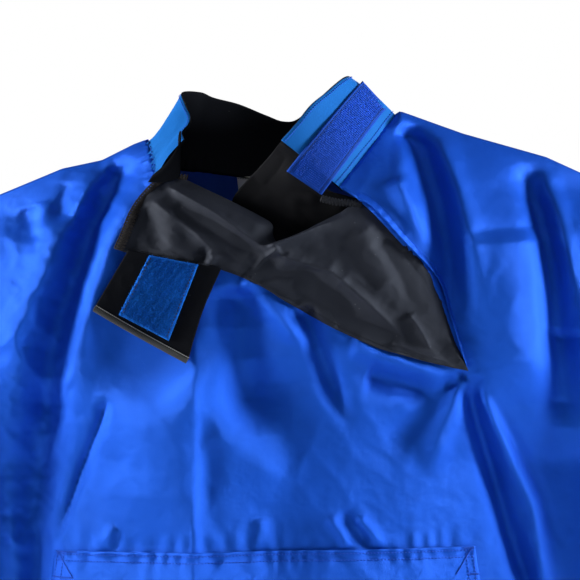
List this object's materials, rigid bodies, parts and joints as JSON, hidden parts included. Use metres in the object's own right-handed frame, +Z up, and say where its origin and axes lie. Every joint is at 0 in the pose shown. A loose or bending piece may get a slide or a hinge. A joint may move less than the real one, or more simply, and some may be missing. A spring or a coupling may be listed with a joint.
{
  "type": "kayak paddling jacket",
  "caption": "Pullover kayak paddling jacket with neoprene collar, slanted neck gusset, hook and loop collar tab, pouch pocket, cuffs and waistband.",
  "frame": {"origin": "middle of the neck base, where a hanger carries the jacket", "axes": "+X towards the wearer's left, -Y out of the front, +Z up"},
  "size_m": [0.933, 0.1572, 0.7479],
  "materials": {
    "nylon_blue": "satin coated nylon taffeta",
    "collar_blue": "heathered knit face of neoprene",
    "hook_blue": "woven hook tape",
    "loop_blue": "brushed loop pile",
    "gusset_grey": "coated taffeta, soft sheen",
    "edge_brown": "overlocked thread",
    "neoprene_black": "matt knit face of neoprene",
    "binding_grey": "overlocked binding",
    "label_white": "satin label, blank"
  },
  "bodies": {
    "shell": {"front_panel": "nylon_blue", "back_panel": "nylon_blue", "collar_band": "collar_blue", "hook_strip": "hook_blue", "neck_gusset": "gusset_grey", "gusset_edge": "edge_brown", "neck_label": "label_white", "pocket_panel": "nylon_blue", "waistband": "neoprene_black"},
    "collar_end": {"collar_tab": "neoprene_black", "tab_loop_patch": "loop_blue", "tab_end_binding": "binding_grey"},
    "left_arm": {"left_sleeve": "nylon_blue", "left_cuff": "neoprene_black", "left_cuff_loop": "loop_blue"},
    "right_arm": {"right_sleeve": "nylon_blue", "right_cuff": "neoprene_black", "right_cuff_loop": "loop_blue"},
    "left_closure": {"left_cuff_tab": "neoprene_black", "left_cuff_hook": "hook_blue"},
    "right_closure": {"right_cuff_tab": "neoprene_black", "right_cuff_hook": "hook_blue"}
  },
  "joints": [
    {"name": "collar_end_fold", "type": "hinge", "parent": "shell", "child": "collar_end", "pos_m": [-0.08368, -0.06989, -0.11999], "axis": [-0.9777, 0.069, 0.1983], "range_deg": [0, 110]},
    {"name": "left_sleeve_swing", "type": "hinge", "parent": "shell", "child": "left_arm", "pos_m": [0.2883, 0, -0.05498], "axis": [0, -1, 0], "range_deg": [0, 30]},
    {"name": "right_sleeve_swing", "type": "hinge", "parent": "shell", "child": "right_arm", "pos_m": [-0.2883, 0, -0.07898], "axis": [0, 1, 0], "range_deg": [0, 30]},
    {"name": "left_cuff_tab_fold", "type": "hinge", "parent": "left_arm", "child": "left_closure", "pos_m": [0.44037, -0.0273, -0.63181], "axis": [-0.1395, 0, 0.9902], "range_deg": [0, 100]},
    {"name": "right_cuff_tab_fold", "type": "hinge", "parent": "right_arm", "child": "right_closure", "pos_m": [-0.44037, -0.0273, -0.63181], "axis": [-0.1395, 0, -0.9902], "range_deg": [0, 100]}
  ]
}
